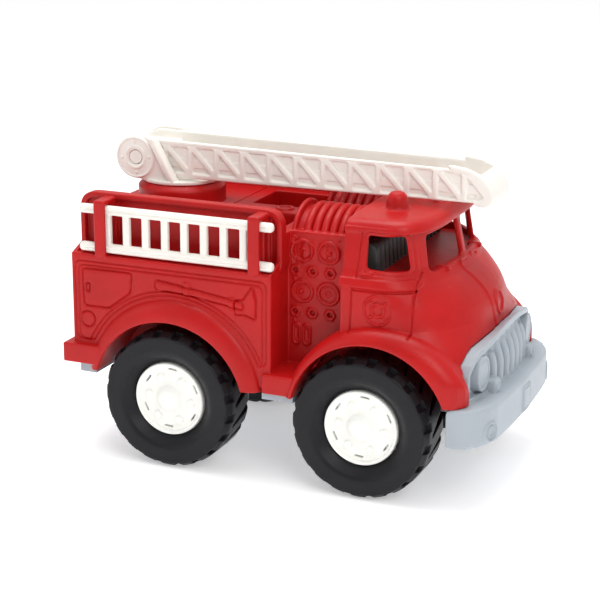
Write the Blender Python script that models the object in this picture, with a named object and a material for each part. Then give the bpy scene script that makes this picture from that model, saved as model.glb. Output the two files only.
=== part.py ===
"""Toy fire engine: moulded plastic shell, chassis, turning ladder, lift-out side ladders and wheels.

Frame: +X forward, +Y to the vehicle's left, +Z up, origin on the ground under the middle.
Shapes are drawn in millimetres and scaled to metres when each object is finished.
"""
import math

import bmesh
import bpy
from mathutils import Matrix, Vector

MM = 0.001
GAP = 0.3                       # clearance between touching pieces

# wheels
AXLE_Z = 41.4
REAR_AXLE_X = -64.6
FRONT_AXLE_X = 56.0
TYRE_R = 41.4
TYRE_FACE_R = 39.4
TYRE_OUT_Y = 76.0
TYRE_IN_Y = 44.0
HUB_R = 22.0
LUGS = 20
AXLE_R = 4.0

# rear body
REAR_X = -127.5
BODY_FRONT_X = 1.1
PANEL_Y = 72.0
PANEL_TOP_Z = 124.4
PANEL_BOTTOM_Z = 68.0
RIM_Y = 60.0
RIM_T = 3.4
WALL_Y = 56.5
WALL_TOP_Z = 159.0
DECK_Z = 145.0
SHELL_T = 2.6
SILL_Y = 77.0
SILL_Z0 = 57.6
SILL_Z1 = 69.5
SILL_REAR_X = -132.2

# hose reels and pump house
PUMP_Y = 47.5
REEL_Y = 29.5
REEL_Z = 138.3
REEL_R = 20.0
FLANGE_R = 21.3

# cab
CAB_REAR_X = 41.1
CAB_Y = 68.0
BELT_Z = 127.0
ROOF_Z = 160.4
WINDOW_X = (55.6, 79.6)
WINDOW_Z = (132.8, 151.2)

# grille and headlights
GRILLE_X = 122.0
GRILLE_BOW = 0.0021
GRILLE_T = 4.7
HEADLIGHT_Y = 44.0

# turntable and ladder boom
TURN_X = -90.1
COLLAR_R = 26.8
COLLAR_Z = 155.0
DISC_R = 24.4
DISC_Z = (158.1, 160.3)
SPIGOT_R = 8.0
PIVOT_X = -110.9
PIVOT_Z = 173.0
PIVOT_BOSS_R = 12.9
PIN_R = 4.1
CHEEK_Y = (17.0, 21.0)
BOOM_Y = 16.6
BOOM_WALL = 2.8
BOOM_Z = (161.2, 184.4)
BOOM_NOSE_X = 112.4

# side ladders
SIDE_LADDER_X = (-122.6, 1.6)
SIDE_LADDER_Y = (66.3, 71.3)
SIDE_RAIL_H = 5.6
SIDE_LADDER_Z = (125.5, 153.9)
RUNG_PITCH = 12.43
RUNG_W = 4.4
STRAP_X = (-107.4, -9.3)
STRAP_W = 7.2
STRAP_Y = (71.7, 74.0)

RED = (0.46, 0.022, 0.020, 1)
GREY = (0.50, 0.54, 0.58, 1)
WHITE = (0.84, 0.81, 0.74, 1)
BLACK = (0.035, 0.034, 0.038, 1)


# ---------------------------------------------------------------- helpers

def clear_scene():
    for obj in list(bpy.data.objects):
        bpy.data.objects.remove(obj, do_unlink=True)


def plastic(name, color, roughness):
    mat = bpy.data.materials.new(name)
    mat.use_nodes = True
    shader = mat.node_tree.nodes["Principled BSDF"]
    shader.inputs["Base Color"].default_value = color
    shader.inputs["Roughness"].default_value = roughness
    shader.inputs["Metallic"].default_value = 0.0
    mat.diffuse_color = color
    return mat


def to_object(name, bm):
    """Turn a bmesh into an object whose faces point outwards."""
    bmesh.ops.remove_doubles(bm, verts=bm.verts, dist=1e-4)
    bmesh.ops.recalc_face_normals(bm, faces=bm.faces)
    mesh = bpy.data.meshes.new(name)
    bm.to_mesh(mesh)
    bm.free()
    obj = bpy.data.objects.new(name, mesh)
    bpy.context.scene.collection.objects.link(obj)
    return obj


def prism(outline, low, high, axis="Y"):
    """Solid with the given outline, stretched from low to high along an axis."""
    bm = bmesh.new()
    place = {"Y": lambda a, b, t: (a, t, b),
             "X": lambda a, b, t: (t, a, b),
             "Z": lambda a, b, t: (a, b, t)}[axis]
    near = [bm.verts.new(place(a, b, low)) for a, b in outline]
    far = [bm.verts.new(place(a, b, high)) for a, b in outline]
    bm.faces.new(near)
    bm.faces.new(list(reversed(far)))
    count = len(outline)
    for i in range(count):
        j = (i + 1) % count
        bm.faces.new((near[j], near[i], far[i], far[j]))
    return to_object("prism_" + axis, bm)


def box(x0, x1, y0, y1, z0, z1, round_by=0.0, axis="Y", steps=3):
    """Box whose edges along one axis are rounded."""
    spans = {"Y": ((x0, x1), (z0, z1), (y0, y1)),
             "X": ((y0, y1), (z0, z1), (x0, x1)),
             "Z": ((x0, x1), (y0, y1), (z0, z1))}[axis]
    (a0, a1), (b0, b1), (t0, t1) = spans
    return prism(rounded_rectangle(a0, a1, b0, b1, round_by, steps), t0, t1, axis)


def rounded_rectangle(a0, a1, b0, b1, radius, steps=3):
    if radius <= 0:
        return [(a0, b0), (a1, b0), (a1, b1), (a0, b1)]
    points = []
    corners = ((a1 - radius, b0 + radius, -90), (a1 - radius, b1 - radius, 0),
               (a0 + radius, b1 - radius, 90), (a0 + radius, b0 + radius, 180))
    for ca, cb, start in corners:
        points += arc(ca, cb, radius, start, start + 90, steps)
    return points


def arc(ca, cb, radius, start, end, steps):
    """Points along a circular arc, angles in degrees."""
    points = []
    for i in range(steps + 1):
        turn = math.radians(start + (end - start) * i / steps)
        points.append((ca + radius * math.cos(turn), cb + radius * math.sin(turn)))
    return points


def ring_point(axis, centre, radius, along, turn):
    cx, cy, cz = centre
    c, s = radius * math.cos(turn), radius * math.sin(turn)
    if axis == "X":
        return (cx + along, cy + c, cz + s)
    if axis == "Y":
        return (cx + c, cy + along, cz + s)
    return (cx + c, cy + s, cz + along)


def turned(profile, axis, centre, steps=32, closed=False, radius_of=None):
    """Solid of revolution. profile holds (radius, along) pairs.

    A closed profile makes a ring; an open one starts and ends on the axis.
    radius_of(k, step, radius) can vary the radius round the turn, for tread lugs.
    """
    bm = bmesh.new()
    rings = []
    for step in range(steps):
        turn = 2 * math.pi * step / steps
        ring = []
        for k, (radius, along) in enumerate(profile):
            shaped = radius_of(k, step, radius) if radius_of else radius
            ring.append(bm.verts.new(ring_point(axis, centre, shaped, along, turn)))
        rings.append(ring)
    count = len(profile)
    for step in range(steps):
        this, following = rings[step], rings[(step + 1) % steps]
        for k in range(count if closed else count - 1):
            m = (k + 1) % count
            bm.faces.new((this[k], this[m], following[m], following[k]))
    bmesh.ops.remove_doubles(bm, verts=bm.verts, dist=1e-4)
    bmesh.ops.dissolve_degenerate(bm, edges=bm.edges, dist=1e-4)
    return to_object("turned_" + axis, bm)


def drum(axis, centre, radius, low, high, steps=32):
    return turned([(0, low), (radius, low), (radius, high), (0, high)], axis, centre, steps)


def loft(rings):
    """Closed solid through a stack of rings with equal point counts."""
    bm = bmesh.new()
    layers = [[bm.verts.new(p) for p in ring] for ring in rings]
    for low, high in zip(layers, layers[1:]):
        for i in range(len(low)):
            j = (i + 1) % len(low)
            bm.faces.new((low[i], low[j], high[j], high[i]))
    bm.faces.new(list(reversed(layers[0])))
    bm.faces.new(layers[-1])
    return to_object("loft", bm)


def combine(target, tool, operation):
    """Apply one Boolean and drop the tool."""
    step = target.modifiers.new("step", "BOOLEAN")
    step.operation = operation
    step.solver = "EXACT"
    step.object = tool
    graph = bpy.context.evaluated_depsgraph_get()
    result = bpy.data.meshes.new_from_object(target.evaluated_get(graph))
    target.modifiers.remove(step)
    target.data = result
    bpy.data.objects.remove(tool, do_unlink=True)
    return target


def add(target, *tools):
    for tool in tools:
        combine(target, tool, "UNION")
    return target


def cut(target, *tools):
    for tool in tools:
        combine(target, tool, "DIFFERENCE")
    return target


def both_sides(make):
    """Call make(side) for the right (-1) and the left (+1) of the vehicle."""
    return [make(-1), make(1)]


def span(side, near, far):
    """Order a |y| range for one side of the vehicle."""
    return tuple(sorted((side * near, side * far)))


def finish(obj, name, material, origin=(0, 0, 0), sharp_angle=35):
    """Name the object, scale it to metres and put its origin where it turns."""
    obj.name = name
    obj.data.name = name
    obj.data.transform(Matrix.Translation(-Vector(origin)))
    obj.data.transform(Matrix.Scale(MM, 4))
    obj.location = Vector(origin) * MM
    obj.data.materials.clear()
    obj.data.materials.append(material)
    obj.data.shade_smooth()
    obj.data.set_sharp_from_angle(angle=math.radians(sharp_angle))
    return obj


# ---------------------------------------------------------------- body shell

def cab_ring(z, half_width, front_x, power, inset=0.0, steps=16, square_from=None):
    """Plan outline of the cab and hood at one height: straight sides, superellipse front."""
    rear = CAB_REAR_X + inset
    half = half_width - inset
    nose = front_x - inset
    start = square_from if square_from is not None else 70.0
    side = []
    for i in range(steps + 1):
        turn = 0.5 * math.pi * i / steps
        x = start + (nose - start) * math.sin(turn) ** (2 / power)
        y = half * math.cos(turn) ** (2 / power)
        side.append((x, y))
    ring = [(rear, -half, z)] + [(x, -y, z) for x, y in side]
    ring += [(x, y, z) for x, y in reversed(side[:-1])] + [(rear, half, z)]
    return ring


# height, half width, front x, superellipse power, x where the curve starts
LOWER_LEVELS = (
    (62.0, 74.0, 112.6, 5.0, 60.0), (75.0, 73.2, 113.2, 4.4, 60.0), (85.0, 71.0, 113.8, 3.6, 62.0),
    (93.0, 69.0, 114.4, 2.9, 66.0), (100.0, 68.0, 115.2, 2.4, 70.0), (106.0, 68.0, 114.4, 2.2, 70.0),
    (113.0, 68.0, 111.6, 2.1, 70.0), (120.0, 68.0, 107.0, 2.1, 70.0), (124.0, 67.8, 103.0, 2.2, 70.0),
    (127.0, 67.4, 98.5, 2.4, 70.0), (128.6, 66.0, 95.0, 2.8, 70.0))
UPPER_LEVELS = (
    (126.0, 65.4, 91.6, 3.6, 62.0), (140.0, 63.4, 89.2, 3.6, 62.0), (152.4, 61.4, 86.6, 3.6, 62.0),
    (152.8, 63.0, 89.2, 3.6, 62.0), (155.0, 62.6, 88.8, 3.4, 62.0), (157.2, 59.4, 86.0, 3.2, 62.0),
    (159.0, 52.0, 81.0, 3.0, 60.0), (160.0, 42.0, 75.0, 2.8, 58.0), (ROOF_Z, 28.0, 67.0, 2.6, 56.0))


def cab_solid(levels, inset=0.0, drop=0.0):
    rings = []
    for z, half, nose, power, start in levels:
        rings.append(cab_ring(z - drop, half, nose, power, inset, square_from=start))
    return loft(rings)


def cab_cavity():
    """Hollow inside the cab, open underneath, two steps so that the walls stay even."""
    rings = [cab_ring(50.0, 71.0, 110.0, 4.5, 2.6, square_from=60.0)]
    for z, half, nose, power, start in LOWER_LEVELS[:-2]:
        rings.append(cab_ring(z - 1.0, half, nose, power, 3.2, square_from=start))
    for z, half, nose, power, start in UPPER_LEVELS[:3]:
        rings.append(cab_ring(max(z, 127.5), half, nose, power, 2.6, square_from=start))
    for z, half, nose, power, start in UPPER_LEVELS[5:]:
        rings.append(cab_ring(z - 2.6, half, nose, power, 2.6, square_from=start))
    return loft(rings)


def arch_lip(centre_x, centre_z, inner_r, outer_r, side, inner_y, panel_y, lip_y):
    """Rounded flare round a wheel opening, from one leg over the top to the other."""
    mid = 0.5 * (inner_r + outer_r)
    section = [(inner_r, inner_y), (inner_r, lip_y - 1.2), (inner_r + 1.2, lip_y),
               (inner_r + 3.4, lip_y), (mid + 1.0, 0.62 * lip_y + 0.38 * panel_y),
               (outer_r - 1.0, panel_y + 0.6), (outer_r, panel_y - 0.6), (outer_r, inner_y)]
    steps = 20
    start, end = math.radians(8), math.radians(172)
    bm = bmesh.new()
    slices = []
    for i in range(steps + 1):
        turn = start + (end - start) * i / steps
        c, s = math.cos(turn), math.sin(turn)
        slices.append([bm.verts.new((centre_x + r * c, side * y, centre_z + r * s)) for r, y in section])
    count = len(section)
    for this, following in zip(slices, slices[1:]):
        for k in range(count):
            m = (k + 1) % count
            bm.faces.new((this[k], this[m], following[m], following[k]))
    bm.faces.new(slices[0])
    bm.faces.new(list(reversed(slices[-1])))
    return to_object("arch_lip", bm)


def hose_reel(side):
    """Half-sunk reel: one flange and six coils of hose."""
    profile = [(0, 3.8), (FLANGE_R, 3.8), (FLANGE_R, 6.0), (REEL_R - 4.0, 6.0), (REEL_R - 4.0, 10.0)]
    first, pitch = 13.0, 4.9
    for i in range(6):
        middle = first + pitch * i
        for dx, dr in ((-2.2, -2.2), (-1.1, -0.5), (0.0, 0.0), (1.1, -0.5), (2.2, -2.2)):
            profile.append((REEL_R + dr, middle + dx))
    profile += [(REEL_R - 4.0, CAB_REAR_X + 0.6), (0, CAB_REAR_X + 0.6)]
    return turned(profile, "X", (0, side * REEL_Y, REEL_Z), steps=28)


def beacon(side):
    profile = [(0, 156.0), (8.4, 156.0), (8.4, 159.6), (7.4, 160.6), (6.6, 161.2), (6.6, 164.2)]
    profile += [(6.6 * math.cos(a), 164.2 + 6.0 * math.sin(a)) for a in (0.5, 1.0)]
    profile += [(0, 170.2)]
    return turned(profile, "Z", (60.6, side * 31.0, 0), steps=20)


def strap(side, x):
    """Closed loop that a side ladder slides through."""
    x0, x1 = x - STRAP_W / 2, x + STRAP_W / 2
    low, high = SIDE_LADDER_Z[0] - GAP, SIDE_LADDER_Z[1] + GAP
    loop = [(WALL_Y - 1, 122.0), (STRAP_Y[1], 122.0), (STRAP_Y[1], 157.0), (WALL_Y - 1, 157.0)]
    bracket = prism([(side * y, z) for y, z in loop], x0, x1, "X")
    return cut(bracket, box(x0 - 2, x1 + 2, *span(side, SIDE_LADDER_Y[0] - GAP, STRAP_Y[0]), low, high))


def rear_body(shell):
    lower = box(REAR_X, BODY_FRONT_X, -PANEL_Y, PANEL_Y, PANEL_BOTTOM_Z - 10.0, PANEL_TOP_Z)
    upper_outline = [(REAR_X - 1.2, PANEL_TOP_Z - 6.0), (BODY_FRONT_X + 1.4, PANEL_TOP_Z - 6.0)]
    upper_outline += arc(BODY_FRONT_X + 1.4 - 8.0, WALL_TOP_Z - 8.0, 8.0, 0, 90, 5)
    upper_outline += arc(REAR_X - 1.2 + 8.0, WALL_TOP_Z - 8.0, 8.0, 90, 180, 5)
    upper = prism(upper_outline, -RIM_Y, RIM_Y)
    add(shell, lower, upper)
    recess_outline = [(REAR_X - 1.2 + RIM_T, PANEL_TOP_Z), (BODY_FRONT_X + 1.4 - RIM_T, PANEL_TOP_Z)]
    recess_outline += arc(BODY_FRONT_X + 1.4 - 8.0, WALL_TOP_Z - 8.0, 8.0 - RIM_T, 0, 90, 4)
    recess_outline += arc(REAR_X - 1.2 + 8.0, WALL_TOP_Z - 8.0, 8.0 - RIM_T, 90, 180, 4)
    for side in (-1, 1):
        cut(shell, prism(recess_outline, *span(side, WALL_Y, PANEL_Y + 5)))
    cut(shell, box(REAR_X - 5, BODY_FRONT_X + 5, -WALL_Y + SHELL_T, WALL_Y - SHELL_T, DECK_Z, 170))
    return shell


def make_body_shell(material):
    shell = box(-1.0, CAB_REAR_X + 4.0, -PUMP_Y, PUMP_Y, 58.0, DECK_Z)
    rear_body(shell)
    # sill and tail step round the rear, then the step boards between the wheels
    add(shell, box(SILL_REAR_X, -108.0, -SILL_Y, SILL_Y, SILL_Z0, SILL_Z1, 1.0, "X", 1))
    add(shell, box(-8.0, 24.0, -75.0, 75.0, 54.6, 66.5))
    # cab, hood and roof
    add(shell, cab_solid(LOWER_LEVELS), cab_solid(UPPER_LEVELS))
    for side in (-1, 1):
        add(shell, hose_reel(side), beacon(side))
    # collar for the turntable
    add(shell, turned([(0, DECK_Z - 4), (COLLAR_R, DECK_Z - 4), (COLLAR_R, COLLAR_Z), (23.6, 157.8),
                       (0, 157.8)], "Z", (TURN_X, 0, 0), 40))
    # hollow underneath
    inner_x = (REAR_X + SHELL_T, BODY_FRONT_X - SHELL_T)
    cut(shell, box(*inner_x, -PANEL_Y + SHELL_T, PANEL_Y - SHELL_T, 40, 121.0))
    cut(shell, box(*inner_x, -WALL_Y + SHELL_T, WALL_Y - SHELL_T, 100, DECK_Z - 3.0))
    cut(shell, box(-3.0, CAB_REAR_X + 8.0, -PUMP_Y + SHELL_T, PUMP_Y - SHELL_T, 40, DECK_Z - 3.0))
    cut(shell, cab_cavity())
    cut(shell, drum("Y", (REAR_AXLE_X + 1.2, 0, 42.6), 48.4, -80.0, 80.0, 40))
    cut(shell, drum("Y", (FRONT_AXLE_X + 2.6, 0, 43.4), 46.6, -80.0, 80.0, 40))
    cut(shell, bowed_slab(64.0, GRILLE_T + GAP, -30.0, 50.0, 101.4 + GAP))
    for side in (-1, 1):
        add(shell, arch_lip(REAR_AXLE_X + 1.2, 42.6, 48.4, 58.6, side, 67.0, PANEL_Y, 77.2))
        add(shell, arch_lip(FRONT_AXLE_X + 2.6, 43.4, 46.6, 56.6, side, 67.0, 71.5, 77.2))
    cut(shell, box(-131.0, -105.0, -74.4, 74.4, 50, SILL_Z1 - SHELL_T))
    cut(shell, box(-5.4, 21.4, -72.4, 72.4, 40, 63.9))
    cut(shell, box(98.0, 125.0, -80.0, 80.0, 40, 61.0 + GAP))
    # hose beds in the deck
    for side in (-1, 1):
        y0, y1 = span(side, 8.4, 46.0)
        add(shell, box(-47.4, -2.0, y0, y1, 119.0, DECK_Z - 1.0))
        y0, y1 = span(side, 10.6, 43.6)
        cut(shell, box(-45.2, -4.2, y0, y1, 121.4, 170))
    # hole for the turntable spigot
    cut(shell, drum("Z", (TURN_X, 0, 0), SPIGOT_R + GAP, 120, 170, 32))
    # windows
    cut(shell, box(*WINDOW_X, -80, 80, *WINDOW_Z, 1.6, "Y", 2))
    for side in (-1, 1):
        pane = [(side * 2.8, 129.6), (side * 40.4, 127.9), (side * 38.0, 147.4), (side * 2.8, 150.6)]
        cut(shell, prism(pane, 76.0, 104.0, "X"))
    # ladder rest on the roof, deck cap and side ladder straps
    add(shell, box(74.0, 80.0, -9.0, 9.0, 158.0, BOOM_Z[0] - GAP, 0.8, "Y", 2))
    add(shell, drum("Z", (-18.4, 0, 0), 6.2, DECK_Z - 1, DECK_Z + 1.4, 20))
    for side in (-1, 1):
        for x in STRAP_X:
            add(shell, strap(side, x))
    return finish(shell, "body_shell", material)


# ---------------------------------------------------------------- chassis and cab fittings

def make_chassis(material):
    tray = box(-121.0, 104.0, -38.0, 38.0, 46.0, 56.6)
    add(tray, box(-124.4, -113.6, -70.0, 70.0, 50.6, 66.6))
    add(tray, box(-4.6, 14.6, -71.6, 71.6, 50.4, 63.6))
    for x in (REAR_AXLE_X, FRONT_AXLE_X):
        add(tray, box(x - 9.0, x + 9.0, -36.0, 36.0, 34.0, 50.0, 2.0, "Y", 2))
    cut(tray, box(-117.0, -80.0, -34.0, 34.0, 49.0, 70.0))
    cut(tray, box(-50.0, 42.0, -34.0, 34.0, 49.0, 70.0))
    for x in (REAR_AXLE_X, FRONT_AXLE_X):
        cut(tray, drum("Y", (x, 0, AXLE_Z), AXLE_R + 0.16, -60, 60, 40))
    return finish(tray, "chassis", material)


def bumper_plan(half, front, corner, rear, steps=6):
    """Half-width, front x, corner radius and rear x of the bumper's plan, bowed a little."""
    points = [(rear, -half)]
    for i in range(steps + 1):
        turn = math.radians(-90 + 90 * i / steps)
        points.append((front - 4.6 - corner + corner * math.cos(turn),
                       -(half - corner) + corner * math.sin(turn)))
    for y in (-36.0, -18.0, 0.0, 18.0, 36.0):
        points.append((front - 4.6 * (abs(y) / (half - corner)) ** 2, y))
    mirrored = [(x, -y) for x, y in reversed(points[:steps + 2])]
    return points + mirrored


def grille_x(y):
    """Front face of the grille, bowed across the truck."""
    return GRILLE_X - GRILLE_BOW * y * y


def bowed_slab(half, back, front, low, high):
    """Slab that follows the bow of the grille, between two depths behind its front face."""
    ys = [half * i / 8.0 for i in range(-8, 9)]
    plan = [(grille_x(y) - back, y) for y in ys]
    plan += [(grille_x(y) - front, y) for y in reversed(ys)]
    return prism(plan, low, high, "Z")


def grille_outline(inset, low):
    """Front view of the grille, drawn in by inset."""
    half = [(61.0 - inset, low), (61.0 - inset, 84.0), (58.0 - 0.8 * inset, 90.0 - 0.5 * inset),
            (52.0 - 0.5 * inset, 93.4 - inset), (0.0, 101.4 - inset)]
    return half + [(-y, z) for y, z in reversed(half[:-1])]


def headlight(side):
    """Tall oval lens with a raised rim."""
    y = HEADLIGHT_Y * side
    lamp = turned([(0, -3.4), (8.2, -3.4), (8.2, 0.6), (7.0, 0.6), (6.4, -0.6), (0, 0.6)], "X",
                  (grille_x(HEADLIGHT_Y) - 1.0, y, 0), 28)
    lamp.data.transform(Matrix.Translation((0, 0, 74.0)) @ Matrix.Scale(1.22, 4, (0, 0, 1)))
    return lamp


def make_front_bumper(material):
    bar = prism(bumper_plan(75.5, 131.8, 12.0, 106.6), 38.2, 61.0, "Z")
    face = combine(bowed_slab(64.0, GRILLE_T, 0.0, 50.0, 110.0),
                   prism(grille_outline(0.0, 59.6), 90.0, 140.0, "X"), "INTERSECT")
    recess = combine(bowed_slab(63.0, 2.0, -8.0, 52.0, 108.0),
                     prism(grille_outline(3.2, 64.3), 92.0, 142.0, "X"), "INTERSECT")
    cut(face, recess)
    for i in range(6):
        y = -26.0 + 10.4 * i
        x = grille_x(y)
        add(face, box(x - 3.4, x - 0.5, y - 2.0, y + 2.0, 62.7, 96.0 - 0.14 * abs(y)))
    add(face, headlight(-1), headlight(1))
    cut(bar, box(90.0, 112.0, -72.6, 72.6, 41.0, 58.4))
    add(bar, face)
    # towing blocks on the front shelf
    for side in (-1, 1):
        add(bar, box(113.0, 125.0, *span(side, 30.0, 38.0), 59.0, 68.0, 1.0, "X", 1))
    # tongue that plugs into the chassis
    add(bar, box(104.3, 124.0, -24.0, 24.0, 46.4, 52.0))
    return finish(bar, "front_bumper", material)


def make_cab_seat(material):
    outline = [(49.0, 98.0), (66.0, 98.0), (67.0, 112.0), (65.0, 118.0), (58.6, 119.0), (57.0, 141.0),
               (54.6, 144.0), (50.4, 144.0), (48.6, 141.0)]
    seat = prism(outline, -55.0, 55.0)
    add(seat, box(50.0, 64.0, -10.0, 10.0, 56.9, 99.0))
    return finish(seat, "cab_seat", material)


def make_dashboard(material):
    outline = [(76.0, 112.0), (84.0, 112.0), (86.4, 122.0), (84.0, 124.6), (78.0, 124.6), (75.0, 121.0)]
    dash = prism(outline, -50.0, 50.0)
    add(dash, box(77.0, 83.0, -8.0, 8.0, 56.9, 114.0))
    return finish(dash, "dashboard", material)


# ---------------------------------------------------------------- turntable and ladder

def make_turntable(material):
    table = turned([(0, 138.0), (SPIGOT_R, 138.0), (SPIGOT_R, DISC_Z[0]), (DISC_R, DISC_Z[0]),
                    (DISC_R, DISC_Z[1]), (0, DISC_Z[1])], "Z", (TURN_X, 0, 0), 40)
    cut(table, turned([(5.4, 142.0), (10.0, 142.0), (10.0, 140.1), (5.4, 140.1)], "Z", (TURN_X, 0, 0), 24,
                      closed=True))
    outline = arc(PIVOT_X, PIVOT_Z, PIVOT_BOSS_R, 90, 262, 14)
    outline += [(-106.0, 159.6), (-84.4, 159.6), (-84.4, 161.4), (-97.8, PIVOT_Z + PIVOT_BOSS_R)]
    for side in (-1, 1):
        add(table, prism(outline, *span(side, *CHEEK_Y)))
        add(table, turned([(7.6, 0.0), (11.4, 0.0), (11.4, 1.6), (7.6, 1.6)], "Y",
                          (PIVOT_X, side * (CHEEK_Y[1] + 0.7) - 0.8, PIVOT_Z), 28, closed=True))
    cut(table, drum("Y", (PIVOT_X, 0, PIVOT_Z), PIN_R + GAP, -40, 40, 24))
    return finish(table, "turntable", material, (TURN_X, 0, 0))


def make_turntable_retainer(material):
    ring = turned([(5.7, 140.4), (SPIGOT_R + 6.0, 140.4), (SPIGOT_R + 6.0, 141.7), (5.7, 141.7)], "Z",
                  (TURN_X, 0, 0), 24, closed=True)
    return finish(ring, "turntable_retainer", material, (TURN_X, 0, 0))


def make_boom(material):
    low, high = BOOM_Z
    outline = arc(PIVOT_X, PIVOT_Z, 11.4, 90, 270, 12)
    outline[0] = (PIVOT_X, high)
    outline[-1] = (PIVOT_X, low)
    outline += [(BOOM_NOSE_X - 6.4, low)] + arc(BOOM_NOSE_X - 6.0, low + 6.0, 6.0, -60, 0, 3)
    outline += arc(BOOM_NOSE_X - 15.0, high - 15.0, 15.0, 10, 90, 5)
    boom = prism(outline, -BOOM_Y, BOOM_Y)
    inner = BOOM_Y - BOOM_WALL
    cut(boom, box(-98.0, BOOM_NOSE_X - 8.0, -inner, inner, low - 5, high + 5, 4.0, "Z", 3))
    cut(boom, box(-130.0, -96.0, -inner, inner, PIVOT_Z + 8.0, high + 5))
    for i in range(16):
        x = -90.0 + 12.4 * i
        add(boom, box(x - 1.7, x + 1.7, -inner - 1, inner + 1, 169.4, 172.8))
    cut(boom, drum("Y", (PIVOT_X, 0, PIVOT_Z), PIN_R + GAP, -40, 40, 24))
    return finish(boom, "boom_ladder", material, (PIVOT_X, 0, PIVOT_Z))


def make_pivot_pin(material):
    pin = drum("Y", (PIVOT_X, 0, PIVOT_Z), PIN_R, -CHEEK_Y[1] + 0.4, CHEEK_Y[1] - 0.4, 24)
    return finish(pin, "ladder_pivot_pin", material, (PIVOT_X, 0, PIVOT_Z))


def make_side_ladder(side, name, material):
    x0, x1 = SIDE_LADDER_X
    y0, y1 = span(side, *SIDE_LADDER_Y)
    z0, z1 = SIDE_LADDER_Z
    ladder = None
    for low in (z0, z1 - SIDE_RAIL_H):
        rail = box(x0, x1, y0, y1, low, low + SIDE_RAIL_H, 2.2, "Y", 3)
        ladder = rail if ladder is None else ladder
        if rail is not ladder:
            rungs = []
            for i in range(8):
                x = -104.0 + RUNG_PITCH * i
                rungs.append(box(x - RUNG_W / 2, x + RUNG_W / 2, y0 + 0.8, y1 - 0.8, z0 + 3, z1 - 3))
            add(ladder, *rungs)
            add(ladder, rail)
    # stop that meets the rear strap from behind when the ladder is home
    stop_x = STRAP_X[0] - STRAP_W / 2 - GAP
    for z in (z0 + 0.6, z1 - 4.6):
        depth = span(side, SIDE_LADDER_Y[0] - 1.6, SIDE_LADDER_Y[0] + 2)
        add(ladder, box(stop_x - 3.0, stop_x, *depth, z, z + 4))
    return finish(ladder, name, material)


# ---------------------------------------------------------------- wheels

def make_tyre(name, x, side, material):
    """Tyre with two staggered rows of tread lugs."""
    out_y, in_y = TYRE_OUT_Y, TYRE_IN_Y
    mid = 0.5 * (out_y + in_y)
    groove = TYRE_R - 2.6
    profile = [(HUB_R + GAP, out_y - 4.0), (HUB_R + 3.0, out_y - 2.6), (TYRE_FACE_R - 8.0, out_y),
               (TYRE_FACE_R - 1.6, out_y - 0.6), (TYRE_R, out_y - 4.4), (TYRE_R, mid + 0.8),
               (groove, mid + 0.4), (groove, mid - 0.4), (TYRE_R, mid - 0.8), (TYRE_R, in_y + 4.4),
               (TYRE_FACE_R - 1.6, in_y + 0.6), (TYRE_FACE_R - 8.0, in_y), (HUB_R + GAP, in_y + 3.0)]

    def lug(k, step, radius):
        row = 0 if k in (4, 5) else 2 if k in (8, 9) else None
        if row is None:
            return radius
        return radius if (step + row) % 4 < 2 else groove

    flipped = [(r, side * y) for r, y in profile]
    tyre = turned(flipped, "Y", (x, 0, AXLE_Z), LUGS * 4, closed=True, radius_of=lug)
    return finish(tyre, name, material, (x, 0, AXLE_Z), 30)


def make_hub(name, x, side, material):
    """Dished wheel hub with a centre dome and a ring of nuts."""
    out_y = TYRE_OUT_Y
    profile = [(AXLE_R + GAP, out_y - 30.0), (9.0, out_y - 30.0), (9.0, out_y - 8.0),
               (HUB_R, out_y - 8.0), (HUB_R, out_y - 2.6), (HUB_R - 1.6, out_y - 2.0),
               (HUB_R - 3.2, out_y - 3.6), (10.6, out_y - 3.2), (8.4, out_y - 1.6), (5.2, out_y - 0.6),
               (0.0, out_y - 0.3), (0.0, out_y - 5.4), (AXLE_R + GAP, out_y - 5.4)]
    flipped = [(r, side * y) for r, y in profile]
    hub = turned(flipped, "Y", (x, 0, AXLE_Z), 36, closed=True)
    for i in range(6):
        turn = math.radians(60 * i + 30)
        nut_x, nut_z = x + 14.2 * math.cos(turn), AXLE_Z + 14.2 * math.sin(turn)
        add(hub, drum("Y", (nut_x, 0, nut_z), 2.3, *span(side, out_y - 6.0, out_y - 1.7), 8))
    return finish(hub, name, material, (x, 0, AXLE_Z), 30)


def make_axle(name, x, material):
    reach = TYRE_OUT_Y - 5.8
    return finish(drum("Y", (x, 0, AXLE_Z), AXLE_R, -reach, reach, 20), name, material, (x, 0, AXLE_Z))


def build():
    clear_scene()
    red = plastic("red_plastic", RED, 0.48)
    make_body_shell(red)
    grey = plastic("grey_plastic", GREY, 0.5)
    make_chassis(grey)
    make_front_bumper(plastic("bumper_grey", GREY, 0.46))
    make_cab_seat(plastic("seat_grey", (0.34, 0.36, 0.37, 1), 0.55))
    make_dashboard(plastic("dash_grey", (0.36, 0.38, 0.40, 1), 0.55))
    white = plastic("white_plastic", WHITE, 0.5)
    make_turntable(white)
    make_turntable_retainer(plastic("retainer_white", (0.78, 0.75, 0.69, 1), 0.5))
    make_boom(plastic("ladder_white", (0.86, 0.83, 0.76, 1), 0.5))
    make_pivot_pin(plastic("pin_white", (0.80, 0.77, 0.71, 1), 0.5))
    for side, word in ((-1, "right"), (1, "left")):
        make_side_ladder(side, "side_ladder_" + word, plastic("side_ladder_white_" + word, WHITE, 0.5))
    black = plastic("tyre_black", BLACK, 0.6)
    hub_white = plastic("hub_white", (0.86, 0.86, 0.80, 1), 0.42)
    for x, end in ((FRONT_AXLE_X, "front"), (REAR_AXLE_X, "rear")):
        for side, word in ((-1, "right"), (1, "left")):
            make_tyre("tyre_%s_%s" % (end, word), x, side, black)
            make_hub("hub_%s_%s" % (end, word), x, side, hub_white)
        make_axle(end + "_axle", x, plastic(end + "_axle_grey", (0.3, 0.3, 0.31, 1), 0.45))


build()
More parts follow.
